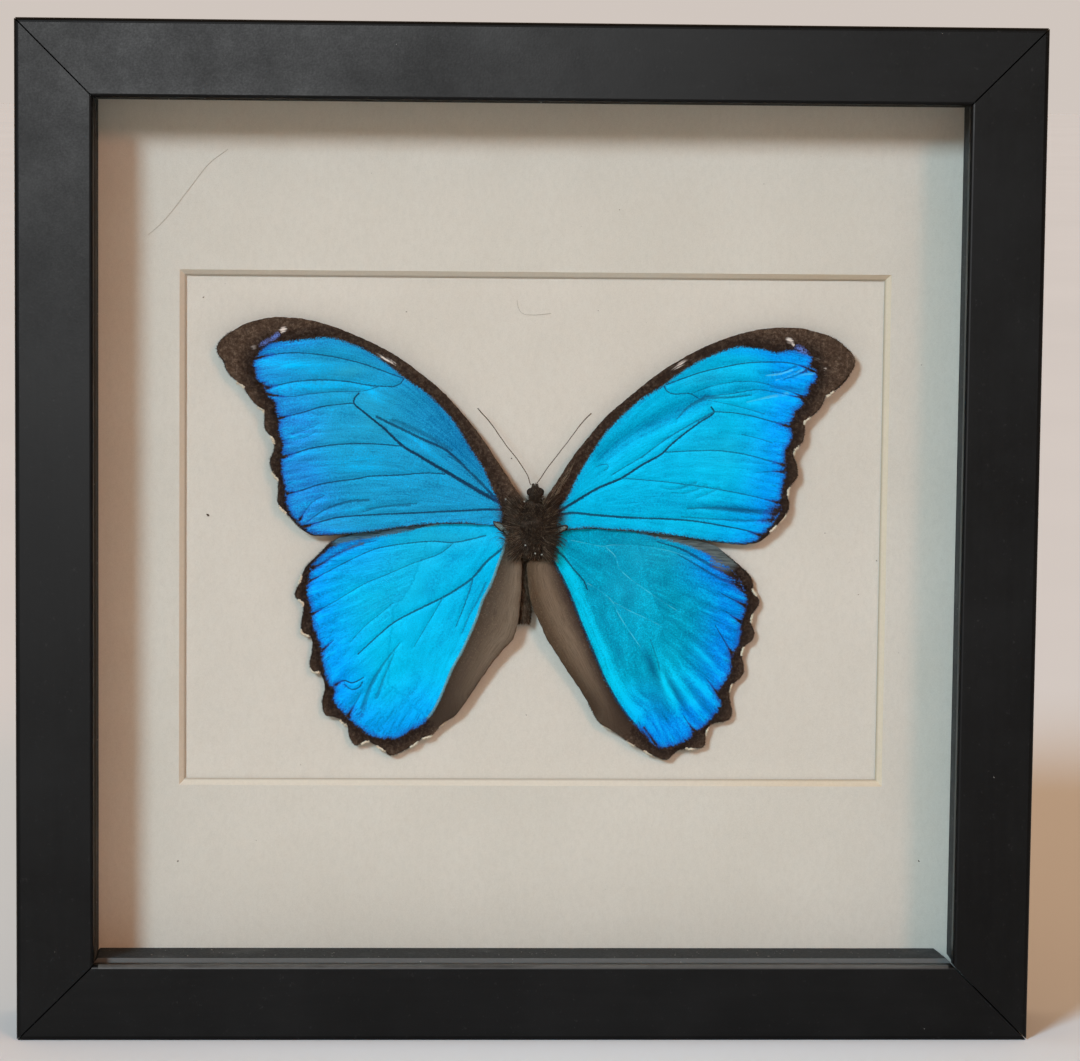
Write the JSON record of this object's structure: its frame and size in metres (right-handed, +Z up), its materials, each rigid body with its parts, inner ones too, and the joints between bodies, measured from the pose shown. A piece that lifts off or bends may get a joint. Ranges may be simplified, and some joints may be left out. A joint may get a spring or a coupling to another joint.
{
  "type": "framed butterfly specimen",
  "caption": "Spread blue morpho butterfly fixed on a cream board behind a bevelled window mat, in a square black box frame with glass.",
  "frame": {"origin": "middle of the footprint, on the surface the bottom rail stands on", "axes": "+Z up, glass facing -Y, back facing +Y, +X to the right of a viewer in front of the glass"},
  "size_m": [0.225, 0.032, 0.225],
  "materials": {
    "frame_black": "satin black foil over wood composite, mitred corners",
    "glass": "clear picture glass",
    "spacer_card": "matte dark grey paper-faced strip",
    "mat_card": "matte cream mount board with fine flecks",
    "board_card": "matte cream board with fine flecks",
    "fibreboard": "bare brown fibreboard",
    "zinc_steel": "zinc-plated steel",
    "insect_body": "dark brown dried body with fine hair",
    "wing_blue": "iridescent blue scales with dark brown scalloped borders"
  },
  "bodies": {
    "root": {"rail_bottom": "frame_black", "rail_left": "frame_black", "rail_top": "frame_black", "rail_right": "frame_black", "glass_pane": "glass", "spacer_bottom": "spacer_card", "spacer_left": "spacer_card", "spacer_top": "spacer_card", "spacer_right": "spacer_card", "window_mat": "mat_card", "mount_board": "board_card", "back_panel": "fibreboard", "retaining_tab_bottom_a": "zinc_steel", "retaining_tab_bottom_b": "zinc_steel", "retaining_tab_left_a": "zinc_steel", "retaining_tab_left_b": "zinc_steel", "retaining_tab_top_a": "zinc_steel", "retaining_tab_top_b": "zinc_steel", "retaining_tab_right_a": "zinc_steel", "retaining_tab_right_b": "zinc_steel", "sawtooth_hanger": "zinc_steel", "hanger_rivet_left": "zinc_steel", "hanger_rivet_right": "zinc_steel", "butterfly_head": "insect_body", "butterfly_thorax": "insect_body", "butterfly_abdomen": "insect_body", "antenna_left": "insect_body", "antenna_right": "insect_body", "forewing_left": "wing_blue", "forewing_right": "wing_blue", "hindwing_left": "wing_blue", "hindwing_right": "wing_blue"}
  },
  "joints": []
}
